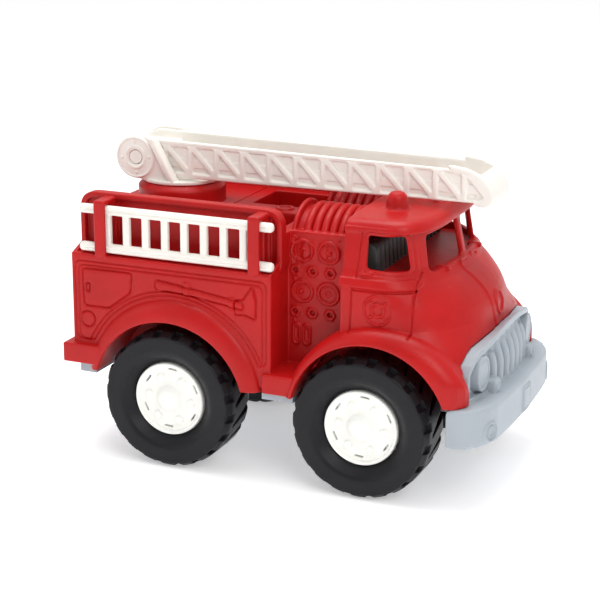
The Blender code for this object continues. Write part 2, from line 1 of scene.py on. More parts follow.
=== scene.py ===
"""Looks of the toy fire engine: moulded plastic shapes built as signed-distance blocks, in millimetres.

Each block is sampled on a grid, shapes are added and cut with soft joins, as a mould maker would, and
its zero surface becomes a mesh that rides on a CAD body. y is the distance from the middle plane in
blocks that are mirrored. The frame is the CAD's: +X forward, +Y left, +Z up.
"""
import math

import bpy
import numpy as np
import openvdb
from mathutils import Matrix, Vector


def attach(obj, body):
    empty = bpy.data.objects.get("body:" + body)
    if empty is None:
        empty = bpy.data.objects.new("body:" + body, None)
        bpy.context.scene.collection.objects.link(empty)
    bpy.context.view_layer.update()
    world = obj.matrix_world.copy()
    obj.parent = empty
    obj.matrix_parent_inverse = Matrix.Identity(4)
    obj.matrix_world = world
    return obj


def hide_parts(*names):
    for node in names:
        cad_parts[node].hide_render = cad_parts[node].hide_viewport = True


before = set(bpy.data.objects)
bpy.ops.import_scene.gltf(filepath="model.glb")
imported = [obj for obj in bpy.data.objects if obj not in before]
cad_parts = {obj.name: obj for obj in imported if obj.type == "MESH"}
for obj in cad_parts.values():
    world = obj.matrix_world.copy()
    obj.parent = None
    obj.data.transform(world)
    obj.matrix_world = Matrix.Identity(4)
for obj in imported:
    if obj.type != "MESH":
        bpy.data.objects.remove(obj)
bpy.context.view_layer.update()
MM = 0.001

# wheels
AXLE_Z = 41.4
AXLES = {"front": 56.0, "rear": -64.6}
TYRE_R = 41.4
TYRE_Y = (44.2, 76.0)
HUB_R = 22.0
LUGS = 20

# arches: circle of the opening and circle where the flare meets the panel
REAR_ARCH = ((-62.9, 41.0, 48.6), (-60.4, 46.8, 55.7))
FRONT_ARCH = ((61.2, 44.8, 46.8), (66.0, 44.0, 57.0))
ARCH_INNER = 42.8
# front wing from above
FENDER_PLAN = ((0.0, 50.0), (110.5, 50.0), (112.0, 61.6), (116.6, 63.2), (115.8, 67.6), (112.2, 72.8),
               (106.0, 76.2), (98.0, 78.0), (0.0, 78.0))

# faces that carry relief
PANEL_Y = 72.0
PUMP_Y = 47.5
BOOM_Y = 16.5
BUMPER_X = 131.5

# y at which a shape that spans the middle plane starts
ACROSS = -5

# turntable and boom
TURN_X = -90.1
PIVOT = (-110.9, 173.0)

# camera: degrees, metres, and millimetres for lens and sensor
CAMERA_AZIMUTH, CAMERA_ELEVATION, CAMERA_ROLL = 22.88, 16.40, 0.36
CAMERA_PLACE = (0.3679, -0.8988, 0.37655)
CAMERA_LENS, CAMERA_SENSOR = 100.64, 36.0


# ---------------------------------------------------------------- signed-distance shapes

def soft_min(a, b, soft):
    if soft <= 0:
        return np.minimum(a, b)
    near = np.maximum(soft - np.abs(a - b), 0.0) / soft
    return np.minimum(a, b) - near * near * soft * 0.25


def soft_max(a, b, soft):
    return -soft_min(-a, -b, soft)


def polygon_distance(points, a, b):
    """Distance to a closed outline, negative inside."""
    a, b = np.broadcast_arrays(a, b)
    best = np.full(a.shape, 1e9, np.float32)
    inside = np.zeros(a.shape, bool)
    for (a0, b0), (a1, b1) in zip(points, list(points[1:]) + [points[0]]):
        ea, eb = a1 - a0, b1 - b0
        along = np.clip(((a - a0) * ea + (b - b0) * eb) / (ea * ea + eb * eb), 0, 1)
        best = np.minimum(best, (a - a0 - ea * along) ** 2 + (b - b0 - eb * along) ** 2)
        if eb:
            inside ^= ((b0 > b) != (b1 > b)) & (a < a0 + (b - b0) * ea / eb)
    return np.where(inside, -1.0, 1.0) * np.sqrt(best)


def line_distance(points, a, b):
    """Distance to an open run of straight lines."""
    best = None
    for (a0, b0), (a1, b1) in zip(points, points[1:]):
        ea, eb = a1 - a0, b1 - b0
        along = np.clip(((a - a0) * ea + (b - b0) * eb) / (ea * ea + eb * eb), 0, 1)
        gap = np.hypot(a - a0 - ea * along, b - b0 - eb * along)
        best = gap if best is None else np.minimum(best, gap)
    return best


def swept(flat, depth, edge):
    """Rounded body from its distance in a plane and its distance along the third axis."""
    flat, depth = flat + edge, depth + edge
    return np.hypot(np.maximum(flat, 0), np.maximum(depth, 0)) + np.minimum(np.maximum(flat, depth), 0) - edge


def sort_axes(axis, x, y, z):
    """The two coordinates across an axis, then the one along it."""
    return {"X": (y, z, x), "Y": (x, z, y), "Z": (x, y, z)}[axis]


def limits(axis, a_range, b_range, t_range):
    """Lowest and highest corner from ranges across and along an axis."""
    spans = {"X": (t_range, a_range, b_range), "Y": (a_range, t_range, b_range),
             "Z": (a_range, b_range, t_range)}[axis]
    return [s[0] for s in spans], [s[1] for s in spans]


def extruded(outline, axis, low, high, edge=0.8):
    def distance(x, y, z):
        a, b, t = sort_axes(axis, x, y, z)
        return swept(polygon_distance(outline, a, b), np.abs(t - (low + high) / 2) - (high - low) / 2, edge)
    a_values, b_values = [p[0] for p in outline], [p[1] for p in outline]
    return (distance, *limits(axis, (min(a_values), max(a_values)), (min(b_values), max(b_values)), (low, high)))


def block(x0, x1, y0, y1, z0, z1, edge=0.8):
    def distance(x, y, z):
        sides = [np.abs(v - (p + q) / 2) - (q - p) / 2 + edge
                 for v, p, q in ((x, x0, x1), (y, y0, y1), (z, z0, z1))]
        outside = np.sqrt(sum(np.maximum(s, 0) ** 2 for s in sides))
        return outside + np.minimum(np.maximum(np.maximum(sides[0], sides[1]), sides[2]), 0) - edge
    return distance, [x0, y0, z0], [x1, y1, z1]


def rod(axis, centre, radius, low, high, edge=0.8):
    """Round bar; centre holds the two coordinates across the axis."""
    def distance(x, y, z):
        a, b, t = sort_axes(axis, x, y, z)
        return swept(np.hypot(a - centre[0], b - centre[1]) - radius,
                     np.abs(t - (low + high) / 2) - (high - low) / 2, edge)
    ranges = [(c - radius, c + radius) for c in centre]
    return (distance, *limits(axis, *ranges, (low, high)))


def hoop(axis, centre, radius, thick, at):
    """Ring of round section."""
    def distance(x, y, z):
        a, b, t = sort_axes(axis, x, y, z)
        return np.hypot(np.hypot(a - centre[0], b - centre[1]) - radius, t - at) - thick
    ranges = [(c - radius - thick, c + radius + thick) for c in centre]
    return (distance, *limits(axis, *ranges, (at - thick, at + thick)))


def spun(profile, axis, centre):
    """Turned body from an outline of (radius, along) points."""
    def distance(x, y, z):
        a, b, t = sort_axes(axis, x, y, z)
        return polygon_distance(profile, np.hypot(a - centre[0], b - centre[1]), t)
    reach = max(p[0] for p in profile)
    along = [p[1] for p in profile]
    ranges = [(c - reach, c + reach) for c in centre]
    return (distance, *limits(axis, *ranges, (min(along), max(along))))


def round_corners(points, radius, steps=5):
    """Outline with its corners rounded."""
    result = []
    count = len(points)
    for i in range(count):
        here = Vector(points[i])
        back, ahead = Vector(points[i - 1]) - here, Vector(points[(i + 1) % count]) - here
        reach = min(radius, 0.48 * back.length, 0.48 * ahead.length)
        start, end = here + back.normalized() * reach, here + ahead.normalized() * reach
        for k in range(steps + 1):
            t = k / steps
            result.append(tuple(start * (1 - t) ** 2 + here * (2 * t * (1 - t)) + end * t ** 2))
    return result


def circle_outline(a, b, radius, steps):
    return [(a + radius * math.cos(2 * math.pi * i / steps), b + radius * math.sin(2 * math.pi * i / steps))
            for i in range(steps)]


class Clay:
    """Grid of signed distances that shapes are added to, cut from and embossed on."""

    def __init__(self, low, high, step):
        self.step = step * 1.0
        pad = 2.0
        self.axes = []
        for i, (a, b) in enumerate(zip(low, high)):
            start = a if (i == 1 and a == 0) else a - pad
            self.axes.append(np.float32(start + self.step * np.arange(int((b + pad - start) / self.step) + 2)))
        self.field = np.full([len(a) for a in self.axes], 20.0, np.float32)

    def part(self, low, high, reach):
        """The slice of the grid round a box, and its coordinates."""
        cut = tuple(slice(int(np.searchsorted(axis, a - reach)), int(np.searchsorted(axis, b + reach)) + 1)
                    for axis, a, b in zip(self.axes, low, high))
        x, y, z = (axis[c] for axis, c in zip(self.axes, cut))
        return cut, x[:, None, None], y[None, :, None], z[None, None, :]

    def add(self, shape, soft=0.0):
        distance, low, high = shape
        cut, x, y, z = self.part(low, high, 2.0 + soft)
        self.field[cut] = soft_min(self.field[cut], distance(x, y, z), soft)

    def cut(self, shape, soft=0.0):
        distance, low, high = shape
        cut, x, y, z = self.part(low, high, 2.0 + soft)
        self.field[cut] = -soft_min(-self.field[cut], distance(x, y, z), soft)

    def raise_on(self, axis, level, flat, height, low, high, ramp=0.5, reach=2.2):
        """Raise (or sink, below 0) the surface near a level by height where flat(a, b) is negative.

        low and high bound the two coordinates across the axis.
        """
        corners = limits(axis, (low[0], high[0]), (low[1], high[1]), (level - reach, level + reach))
        cut, x, y, z = self.part(*corners, 0.0)
        a, b, _ = sort_axes(axis, x, y, z)
        mask = np.clip(0.5 - flat(a, b) / ramp, 0, 1)
        self.field[cut] -= np.float32(height) * mask * mask * (3 - 2 * mask)

    def mesh(self, name, mirror=True, flip=False):
        """Mesh of the zero surface, in metres."""
        field, start = self.field, [float(axis[0]) for axis in self.axes]
        if mirror:
            field = np.concatenate([field[:, :0:-1], field], axis=1)
            start[1] = -float(self.axes[1][-1])
        band = 3.0 * self.step
        grid = openvdb.FloatGrid(band)
        grid.copyFromArray(np.ascontiguousarray(np.clip(field, -band, band)))
        points, triangles, quads = grid.convertToPolygons(0.0, 0.01)
        points = (points * self.step + np.array(start)) * MM
        if flip:
            points[:, 1] *= -1
        return build_mesh(name, points, triangles, quads)


def build_mesh(name, points, triangles, quads):
    mesh = bpy.data.meshes.new(name)
    loops = np.concatenate([triangles.ravel(), quads.ravel()]).astype(np.int32)
    sizes = np.concatenate([np.full(len(triangles), 3), np.full(len(quads), 4)]).astype(np.int32)
    mesh.vertices.add(len(points))
    mesh.vertices.foreach_set("co", points.astype(np.float32).ravel())
    mesh.loops.add(len(loops))
    mesh.loops.foreach_set("vertex_index", loops)
    mesh.polygons.add(len(sizes))
    mesh.polygons.foreach_set("loop_start", np.concatenate([[0], np.cumsum(sizes)[:-1]]).astype(np.int32))
    mesh.update(calc_edges=True)
    mesh.validate()
    corners = points[triangles] if len(triangles) else points[quads[:, :3]]
    if len(quads):
        corners = np.concatenate([corners, points[quads[:, :3]], points[quads[:, [0, 2, 3]]]])
    volume = np.einsum("ij,ij->i", corners[:, 0], np.cross(corners[:, 1], corners[:, 2])).sum()
    if volume < 0:
        mesh.flip_normals()
    mesh.shade_smooth()
    return mesh


def new_object(name, data):
    obj = bpy.data.objects.new(name, data)
    bpy.context.scene.collection.objects.link(obj)
    return obj


def paint(mesh, material):
    mesh.materials.clear()
    mesh.materials.append(material)


def piece(mesh, name, body, material, *nodes):
    """Object that rides on a body, made of a material, and stands for the CAD nodes named."""
    obj = new_object(name, mesh)
    paint(mesh, material)
    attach(obj, body)
    if nodes:
        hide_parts(*nodes)
    return obj


# ---------------------------------------------------------------- materials

def plastic(name, color, roughness=0.42, grain=0.25, mottle=0.06, scale=700.0, gloss=0.28):
    """Moulded plastic: faint mottling in the colour and a fine moulded grain."""
    material = bpy.data.materials.new(name)
    material.use_nodes = True
    nodes, links = material.node_tree.nodes, material.node_tree.links
    shader = nodes["Principled BSDF"]
    where = nodes.new("ShaderNodeTexCoord")

    def noise(size, detail):
        made = nodes.new("ShaderNodeTexNoise")
        made.inputs["Scale"].default_value = size
        made.inputs["Detail"].default_value = detail
        links.new(where.outputs["Object"], made.inputs["Vector"])
        return made

    cloud = noise(38.0, 3.0)
    ramp = nodes.new("ShaderNodeValToRGB")
    ramp.color_ramp.elements[0].position = 0.3
    ramp.color_ramp.elements[1].position = 0.7
    ramp.color_ramp.elements[0].color = [c * (1 - mottle) for c in color] + [1]
    ramp.color_ramp.elements[1].color = [min(1.0, c * (1 + mottle)) for c in color] + [1]
    links.new(cloud.outputs["Fac"], ramp.inputs["Fac"])
    links.new(ramp.outputs["Color"], shader.inputs["Base Color"])
    worn = noise(160.0, 2.0)
    spread = nodes.new("ShaderNodeMapRange")
    spread.inputs["To Min"].default_value = roughness - 0.05
    spread.inputs["To Max"].default_value = roughness + 0.06
    links.new(worn.outputs["Fac"], spread.inputs["Value"])
    links.new(spread.outputs["Result"], shader.inputs["Roughness"])
    fine = noise(scale, 2.0)
    bump = nodes.new("ShaderNodeBump")
    bump.inputs["Strength"].default_value = grain
    bump.inputs["Distance"].default_value = 0.00025
    links.new(fine.outputs["Fac"], bump.inputs["Height"])
    links.new(bump.outputs["Normal"], shader.inputs["Normal"])
    shader.inputs["Specular IOR Level"].default_value = gloss
    return material


RED = plastic("red_plastic", (0.46, 0.0060, 0.0062), 0.38, 0.34, 0.08)
GREY = plastic("grey_plastic", (0.385, 0.425, 0.465), 0.42, 0.25, 0.04)
WHITE = plastic("white_plastic", (0.86, 0.83, 0.77), 0.42, 0.20, 0.03)
HUB_WHITE = plastic("hub_white_plastic", (0.95, 0.95, 0.90), 0.34, 0.12, 0.02)
BLACK = plastic("black_plastic", (0.011, 0.011, 0.013), 0.42, 0.40, 0.15, 900.0, 0.22)
# cabin seat and dashboard: grey plastic coloured nearly black, painted shade of the closed cabin
INTERIOR_GREY_PAINTED_SHADE = plastic("interior_plastic_painted_shade", (0.040, 0.042, 0.040), 0.42, 0.25)


# ---------------------------------------------------------------- red body

def plan_body(levels, x, y, z, step):
    """Distance to a body given by plan outlines at heights: straight sides, superellipse front.

    levels holds height, half width, x where the curve starts, front x and the curve's power.
    """
    heights = [row[0] for row in levels]
    half, start, front, power = (
        np.interp(z, heights, [row[i] for row in levels]).astype(np.float32)
        for i in (1, 2, 3, 4))
    u = np.maximum((x - start) / (front - start), 1e-4)
    v = np.maximum(np.abs(y) / half, 1e-4)
    ratio = (u ** power + v ** power) ** (1 / power) - 1
    slopes = np.gradient(ratio, step)
    size = np.sqrt(sum(s * s for s in slopes))
    return ratio / np.maximum(size, 1e-3)


HOOD = ((52, 72.4, 60, 113.5, 6.0), (62, 72.4, 60, 113.8, 6.0), (75, 72.0, 60, 114.2, 5.2),
        (85, 70.8, 61, 114.4, 4.4), (92, 69.4, 66, 114.4, 3.2), (96, 68.5, 68, 113.5, 2.7),
        (100, 68.0, 69, 112.9, 2.3), (104, 68.0, 69, 112.5, 2.1), (108, 68.0, 68, 111.2, 2.05),
        (112, 68.0, 67, 109.2, 2.0), (116, 68.0, 65, 106.0, 2.0), (120, 68.0, 63, 102.0, 2.0),
        (122, 67.8, 62, 99.6, 2.0), (124, 67.4, 62, 96.6, 2.0), (127, 66.4, 62, 94.4, 1.95),
        (129, 65.6, 62, 93.0, 1.9), (132, 65.0, 62, 92.0, 1.9))
CABIN = ((124, 65.9, 62, 92.8, 1.9), (134, 64.6, 62, 90.8, 1.9), (144, 63.2, 62, 88.6, 1.9),
         (151.4, 62.0, 62, 87.0, 1.95), (153.2, 61.9, 62, 87.0, 2.4), (156, 61.9, 62, 87.0, 2.4))
ROOF = ((150, 62.0, 60, 88.8, 3.2), (162, 62.0, 60, 88.8, 3.2))
SIDE_WINDOW = round_corners([(55.2, 132.4), (77.2, 131.2), (73.8, 150.6), (54.9, 151.0)], 2.2)


def add_cab(clay):
    """Hood, cowl, cabin walls and crowned roof, then the hollow cabin and its windows."""
    low, high = (41.1, 0.0, 53.0), (120.0, 76.0, 163.0)
    cut, x, y, z = clay.part(low, high, 2.0)
    step = clay.step
    rear = 41.1 - x
    hood = plan_body(HOOD, x, y, z, step)
    # soft centre band that runs down the nose
    band = 9.5 + np.clip((z - 96) * 0.16, 0, 6)
    edge = np.clip((band - np.abs(y)) / 1.5 + 0.5, 0, 1)
    hood = hood - 0.8 * edge * edge * (3 - 2 * edge) * np.clip((x - 88) / 8, 0, 1)
    hood = soft_max(hood, z - 129.4, 1.6)
    hood = soft_max(hood, rear, 1.6)
    cabin = plan_body(CABIN, x, y, z, step)
    cabin = np.maximum(np.maximum(cabin, z - 155.0), np.maximum(124.5 - z, rear + 0.4))
    crown = z - 160.4 + 1.0 * (y / 55.0) ** 2 + 0.8 * ((x - 62) / 24.0) ** 2
    roof = soft_max(plan_body(ROOF, x, y, z, step), crown, 7.5)
    roof = soft_max(np.maximum(roof, 152.6 - z), rear, 1.2)
    cab = soft_min(soft_min(hood, cabin, 2.2), roof, 1.0)
    clay.field[cut] = soft_min(clay.field[cut], cab, 0.8)
    room = np.maximum(np.maximum(np.minimum(hood, np.minimum(cabin, roof)) + 3.0, 106.0 - z), 44.0 - x)
    clay.field[cut] = np.maximum(clay.field[cut], -room)
    clay.cut(extruded(SIDE_WINDOW, "Y", 44, 80, 0.2), 0.9)
    screen = round_corners([(2.6, 130.4), (41.6, 128.3), (40.0, 148.6), (2.6, 151.2)], 2.4)
    clay.cut(extruded(screen, "X", 72, 110, 0.2), 0.9)


def add_flare(clay, opening, outer, base, lip, foot, plan=None):
    """Flare round a wheel arch: full height at the opening, falling in a round to the panel."""
    (ix, iz, ir), (ox, oz, radius) = opening, outer

    def distance(x, y, z):
        outside = np.hypot(x - ix, z - iz) - ir
        inside = radius - np.hypot(x - ox, z - oz)
        across = np.clip(outside / np.maximum(outside + inside, 0.3), -1, 1)
        across = np.where(inside < 0, 1.0 - inside / 6.0, np.maximum(across, 0))
        rise = np.maximum(y - base, 0) / (lip - base)
        crown = (np.sqrt(across ** 2 + rise ** 2) - 1) * 5.0
        keep = np.maximum(np.maximum(-outside - 2.0, foot - z), 56.0 - y)
        if plan:
            keep = soft_max(keep, polygon_distance(plan, x, y), 2.0)
        return soft_max(crown, keep, 1.0)

    clay.add((distance, [ox - radius, 56.0, foot], [ox + radius, lip, oz + radius]), 0.6)


def add_rear_body(clay):
    clay.add(block(-127.5, 1.1, ACROSS, PANEL_Y, 57.0, 124.4, 1.2))
    clay.add(block(-132.2, -107.5, ACROSS, 77.0, 57.7, 69.5, 1.0))
    wall = round_corners([(-127.5, 118.0), (2.5, 118.0), (2.5, 159.0), (-127.5, 159.0)], 11.0, 8)
    clay.add(extruded(wall, "Y", ACROSS, 60.0, 1.1))
    alcove = round_corners([(-124.2, 124.4), (-1.0, 124.4), (-1.0, 155.6), (-124.2, 155.6)], 8.0, 8)
    clay.cut(extruded(alcove, "Y", 56.4, 90.0, 0.3), 0.8)
    for x0, x1 in ((-127.5, -124.6), (-1.0, 1.1)):
        clay.add(extruded([(55, 118), (71.6, 118), (71.6, 124.0), (60.0, 128.5), (55, 128.5)], "X", x0, x1, 0.6))
    clay.cut(block(-140, 20, ACROSS, 53.0, 145.0, 175, 0.6), 0.8)
    # step board between the wheels and the pump house
    clay.add(block(-3.6, 20.0, ACROSS, 75.0, 54.8, 66.4, 1.0), 0.4)
    clay.add(block(-2.0, 46.0, ACROSS, PUMP_Y, 55.0, 145.4, 0.9), 0.6)
    # deck: joint line, hose beds, cap
    clay.cut(block(-56.4, -55.4, ACROSS, 52.0, 144.2, 150, 0.1))
    clay.cut(block(-46.6, -5.0, 8.4, 45.2, 122.0, 175, 2.0), 0.8)
    clay.add(rod("Z", (-21.4, 0), 5.6, 140, 146.4, 0.7), 0.4)
    clay.cut(rod("Z", (-21.4, 0), 3.6, 145.6, 150, 0.2), 0.2)
    # collar under the turntable
    collar = [(0, 138), (26.8, 138), (26.8, 154.4), (26.2, 155.4), (23.8, 157.8), (0, 157.8)]
    clay.add(spun(collar, "Z", (TURN_X, 0)), 0.5)
    clay.cut(rod("Z", (TURN_X, 0), 8.4, 130, 170, 0.1))


def add_reels(clay):
    """Hose reel on each side of the pump house: a flange and coils."""
    middle = (24.6, 134.4)
    clay.add(rod("X", middle, 20.6, 3.0, 43.0, 0.5), 0.5)
    clay.add(rod("X", middle, 24.6, 2.4, 5.0, 1.1), 0.3)
    for i in range(6):
        clay.add(hoop("X", middle, 21.4, 2.35, 11.4 + 5.2 * i), 0.5)


def add_straps(clay):
    """Two upright loops that each side ladder slides in."""
    for x in (-107.4, -9.3):
        x0, x1 = x - 3.6, x + 3.6
        clay.add(block(x0, x1, 54.0, 73.6, 123.6, 157.2, 1.1), 0.5)
        clay.cut(block(x0 - 3, x1 + 3, 66.0, 71.7, 125.2, 154.2, 0.3))
        clay.cut(block(x0 - 3, x1 + 3, 58.6, 64.2, 126.4, 151.0, 1.0))


def add_beacon(clay):
    dome = [(0.0, 155.0), (8.0, 155.0), (8.0, 159.4), (7.5, 160.2), (6.9, 160.4), (6.3, 162.0),
            (6.1, 165.0), (5.5, 167.4), (4.0, 169.3), (2.0, 170.1), (0.0, 170.2)]
    clay.add(spun(dome, "Z", (60.6, 31.0)), 1.0)


def panel_relief(clay):
    """Engraved and raised drawing on the side of the rear body."""
    ax, az, ar = REAR_ARCH[1]
    low, high = (-126.5, 69.0), (0.5, 123.0)

    def put(flat, height, ramp=0.7):
        clay.raise_on("Y", PANEL_Y, flat, height, low, high, ramp)

    def border(inset):
        line = round_corners([(-125.2 + inset, 72.0), (-2.0 - inset, 70.0), (-2.0 - inset, 120.0 - inset),
                              (-125.2 + inset, 120.0 - inset)], 4.0)
        return lambda x, z: np.maximum(polygon_distance(line, x, z), ar + 2.6 + inset - np.hypot(x - ax, z - az))

    for inset in (0.0, 2.4):
        area = border(inset)
        put(lambda x, z: np.abs(area(x, z)) - 0.4, -0.9)
    locker = round_corners([(-120.4, 115.4), (-87.4, 115.8), (-88.4, 103.6), (-102.7, 92.8), (-119.4, 92.8)], 2.4)
    put(lambda x, z: np.abs(polygon_distance(locker, x, z)) - 0.5, -1.1)
    latch = round_corners([(-117.9, 101.6), (-115.5, 101.6), (-115.5, 106.6), (-117.9, 106.6)], 0.6)
    put(lambda x, z: np.abs(polygon_distance(latch, x, z)) - 0.45, -1.1)
    put(lambda x, z: np.abs(np.hypot(x + 117.2, z - 84.6) - 4.7) - 0.5, -1.1)
    handle = [(-71.4, 113.0), (-71.4, 108.4), (-50.0, 107.2), (-16.0, 103.0), (-16.0, 105.8), (-50.0, 110.4)]
    blade = [(-20.6, 106.6), (-15.8, 107.6), (-10.4, 115.8), (-8.6, 108.4), (-8.6, 98.0), (-15.0, 100.2),
             (-20.6, 99.4)]
    for outline in (round_corners(handle, 1.2), round_corners(blade, 1.0)):
        put(lambda x, z: np.abs(polygon_distance(outline, x, z) - 0.6) - 0.4, -0.8)
        put(lambda x, z: polygon_distance(outline, x, z), 0.9)
    for x0, z0, z1 in ((-53.6, 105.6, 114.2), (-25.2, 101.2, 108.6)):
        clip = round_corners([(x0, z0), (x0 + 3.8, z0), (x0 + 3.8, z1), (x0, z1)], 0.8)
        put(lambda x, z: polygon_distance(clip, x, z), 1.1)


def pump_relief(clay):
    """Gauges, valves and slots on the pump panel."""
    low, high = (0.5, 70.0), (41.0, 145.0)

    def put(flat, height, ramp=0.6):
        clay.raise_on("Y", PUMP_Y, flat, height, low, high, ramp, 2.6)

    for x, z in ((10.4, 134.4), (26.4, 134.4), (10.4, 110.2), (26.4, 110.2)):
        put(lambda a, b: np.abs(np.hypot(a - x, b - z) - 6.0) - 0.8, 1.3)
        put(lambda a, b: np.abs(np.hypot(a - x, b - z) - 6.0) - 0.2, -0.4)
        put(lambda a, b: np.hypot(a - x, b - z) - 4.2, 0.4)
        put(lambda a, b: np.abs(np.hypot(a - x, b - z) - 1.4) - 0.35, 0.6)
    for x in (5.8, 16.6, 27.4):
        for z in (122.4, 97.8):
            flats = round_corners([(x - 3.6, z), (x - 1.8, z - 3.1), (x + 1.8, z - 3.1), (x + 3.6, z),
                                   (x + 1.8, z + 3.1), (x - 1.8, z + 3.1)], 0.5, 2)
            put(lambda a, b: polygon_distance(flats, a, b), 0.9)
            put(lambda a, b: np.hypot(a - x, b - z) - 1.5, -2.4)
    for x in (6.8, 13.2):
        slot = [(x, 80.6), (x, 88.4)]
        put(lambda a, b: np.abs(line_distance(slot, a, b) - 2.0) - 0.6, 1.0)
        for z in (80.6, 88.4):
            put(lambda a, b: np.hypot(a - x, b - z) - 0.7, 0.7)
    for x, z in ((5.2, 142.0), (32.4, 141.8), (5.2, 117.0), (5.2, 92.6)):
        put(lambda a, b: np.hypot(a - x, b - z) - 0.7, 0.8)


def cab_relief(clay):
    """Belt moulding, door lines, handle, a plain round badge and the oval boss on the nose."""
    low, high = (40.0, 94.0), (86.5, 156.0)

    def put(flat, height, ramp=0.6):
        clay.raise_on("Y", 60.0, flat, height, low, high, ramp, 13.0)

    belt = [(36.0, 124.8), (70.0, 124.8), (82.0, 124.4)]
    put(lambda a, b: line_distance(belt, a, b) - 2.6, 1.0, 0.7)
    put(lambda a, b: line_distance([(48.6, 121.0), (82.0, 120.6)], a, b) - 0.5, -0.9)
    put(lambda a, b: line_distance([(47.4, 97.0), (47.9, 121.0)], a, b) - 0.45, -1.0)
    put(lambda a, b: line_distance([(49.8, 127.6), (51.6, 152.6)], a, b) - 0.4, -0.9)
    put(lambda a, b: line_distance([(82.6, 97.5), (82.0, 127.0), (78.6, 152.0)], a, b) - 0.4, -0.9)
    put(lambda a, b: line_distance([(52.6, 130.2), (58.6, 130.2)], a, b) - 0.8, 1.4)
    put(lambda a, b: np.abs(polygon_distance(SIDE_WINDOW, a, b) - 2.2) - 0.35, -0.5)
    x, z = 63.8, 110.6
    for radius, width in ((8.2, 0.55), (3.6, 0.75)):
        put(lambda a, b: np.abs(np.hypot(a - x, b - z) - radius) - width, 1.0)
    for turn in range(4):
        way = math.radians(45 + 90 * turn)
        tick = [(x + r * math.cos(way), z + r * math.sin(way)) for r in (4.0, 6.0)]
        put(lambda a, b: line_distance(tick, a, b) - 0.8, 0.9)
    # oval boss on the nose, vents and studs on the cowl
    clay.raise_on("X", 111.5, lambda a, b: np.abs(np.hypot(a * 1.2, b - 104.0) - 6.6) - 0.7, 1.1,
                  (-1, 95.0), (9, 114.0), 0.6, 8.0)
    clay.add((lambda x, y, z: np.hypot(np.hypot(np.maximum(np.abs(y - 9.0) - 3.4, 0), z - 128.0) - 1.5,
                                       x - 94.6 + 0.35 * (z - 126.0)) - 0.8,
              [90.0, 3.0, 125.0], [97.0, 15.0, 131.0]), 0.4)
    clay.add(rod("X", (29.5, 128.2), 1.5, 84.0, 92.6, 0.8), 0.6)


def build_body():
    clay = Clay((-133.0, 0.0, 52.0), (120.0, 78.2, 171.0), 0.42)
    add_rear_body(clay)
    add_cab(clay)
    add_flare(clay, *REAR_ARCH, 71.6, 77.1, 54.2)
    add_flare(clay, *FRONT_ARCH, 67.0, 77.1, 54.2, FENDER_PLAN)
    for x, z, radius in (REAR_ARCH[0], FRONT_ARCH[0]):
        clay.cut(rod("Y", (x, z), radius, ARCH_INNER, 95.0, 0.4), 0.9)
    # room for the grille and the bumper
    clay.cut((lambda x, y, z: grille_slab(x, y, z, 0.4, 7.6, -0.5), [100.0, 0.0, 52.0], [124.0, 64.0, 100.0]))
    clay.cut((lambda x, y, z: grille_slab(x, y, z, 9.0, -0.4, -0.5), [100.0, 0.0, 52.0], [130.0, 64.0, 100.0]))
    clay.cut(block(96.0, 130.0, ACROSS, 90.0, 40.0, 61.3, 0.1))
    add_reels(clay)
    add_straps(clay)
    add_beacon(clay)
    # low pad at the front of the roof
    clay.add(block(74.0, 80.0, ACROSS, 8.0, 157.0, 161.0, 0.8), 0.8)
    panel_relief(clay)
    pump_relief(clay)
    cab_relief(clay)
    piece(clay.mesh("body"), "body_moulding", "body", RED, "body_shell")


# ---------------------------------------------------------------- grille and bumper

BUMPER_PLAN = [(131.7, 0.0), (131.4, 20.0), (130.6, 38.0), (129.6, 52.0), (127.4, 59.0), (123.6, 67.0),
               (118.0, 73.0), (112.0, 75.2), (107.0, 75.2), (107.0, 70.0), (112.0, 55.0), (112.0, -6.0),
               (131.7, -6.0)]


def grille_line(y):
    return 122.0 - 0.0021 * y * y


def brow(y):
    """Top edge of the grille over the vehicle's width."""
    return np.interp(np.abs(y), [0, 12, 26, 38, 46, 52, 57, 60, 61.4],
                     [95.8, 95.2, 92.9, 90.4, 88.4, 85.8, 81.6, 76.0, 68.0])


def grille_slab(x, y, z, front, back, inset):
    """Slab that follows the grille's face: front and back from its face line, sides pulled in by inset."""
    depth = np.maximum(x - grille_line(y) - front, grille_line(y) - back - x)
    slope = 0.55 * np.clip(grille_line(y) - x, 0, 8.0) * np.clip(1.5 - y / 30.0, 0, 1)
    sides = np.maximum(np.maximum((z + slope - brow(y)) * 0.9, y - 61.4), 55.0 - z) + inset
    return swept(sides, depth, 0.9)


